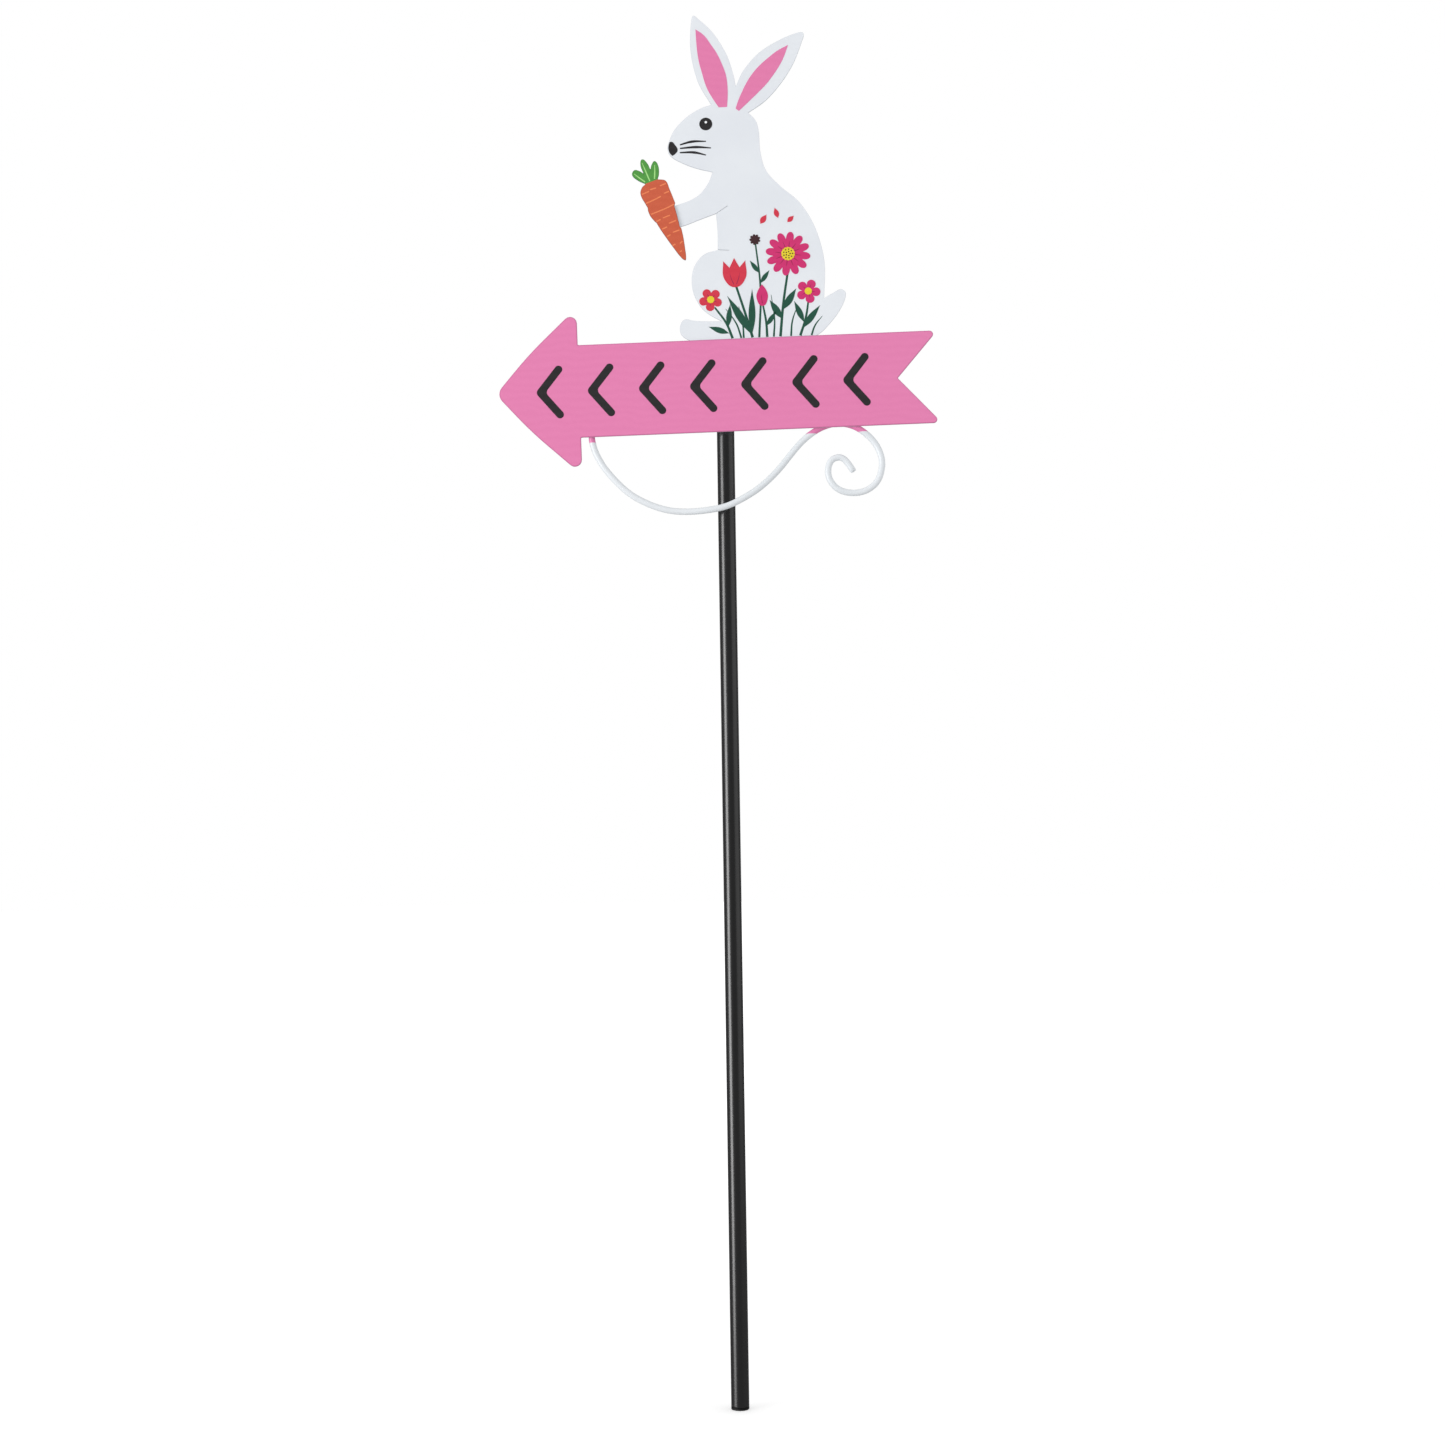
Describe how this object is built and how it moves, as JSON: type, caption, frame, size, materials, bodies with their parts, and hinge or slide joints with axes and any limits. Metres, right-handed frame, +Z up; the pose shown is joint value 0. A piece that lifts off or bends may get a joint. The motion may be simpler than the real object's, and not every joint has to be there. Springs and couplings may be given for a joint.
{
  "type": "garden stake sign",
  "caption": "Flat painted-steel rabbit with a carrot on a left-pointing arrow board over a scroll of wire; the sign slips onto a round stake post, turns on it and is clamped by a screw.",
  "frame": {"origin": "centre of the flat underside of the plug at the post's foot", "axes": "+Z up along the post; -Y out of the sign's front; -X the way the arrow points"},
  "size_m": [0.3293, 0.034, 1.0438],
  "materials": {
    "post_coat": "satin black powder coat",
    "plug_plastic": "moulded black plastic",
    "nylon": "natural nylon",
    "white_coat": "satin white powder coat",
    "board_coat": "satin pink print on white coat",
    "carrot_coat": "satin orange print on white coat",
    "zinc_steel": "bright zinc plate"
  },
  "bodies": {
    "post": {"post_tube": "post_coat", "post_foot_plug": "plug_plastic", "post_top_plug": "plug_plastic"},
    "stop": {"stop_disc": "nylon"},
    "sign": {"socket_tube": "white_coat", "socket_weld_left": "white_coat", "socket_weld_right": "white_coat", "weld_nut": "zinc_steel", "arrow_board": "board_coat", "rabbit_plate": "white_coat", "carrot_plate": "carrot_coat", "tab_weld_left": "white_coat", "tab_weld_right": "white_coat", "carrot_weld": "white_coat", "scroll_wire": "white_coat", "wire_weld_left": "white_coat", "wire_weld_right": "white_coat"},
    "screw": {"thumb_screw": "zinc_steel"}
  },
  "joints": [
    {"name": "sign_lift", "type": "slide", "parent": "post", "child": "stop", "axis": [0, 0, 1], "range_m": [0, 0.08]},
    {"name": "sign_swivel", "type": "hinge", "parent": "stop", "child": "sign", "pos_m": [0, 0, 0.756], "axis": [0, 0, 1], "continuous": true},
    {"name": "thumb_screw_turn", "type": "hinge", "parent": "sign", "child": "screw", "pos_m": [0, 0.016, 0.756], "axis": [0, 1, 0], "range_deg": [0, 1080]}
  ]
}
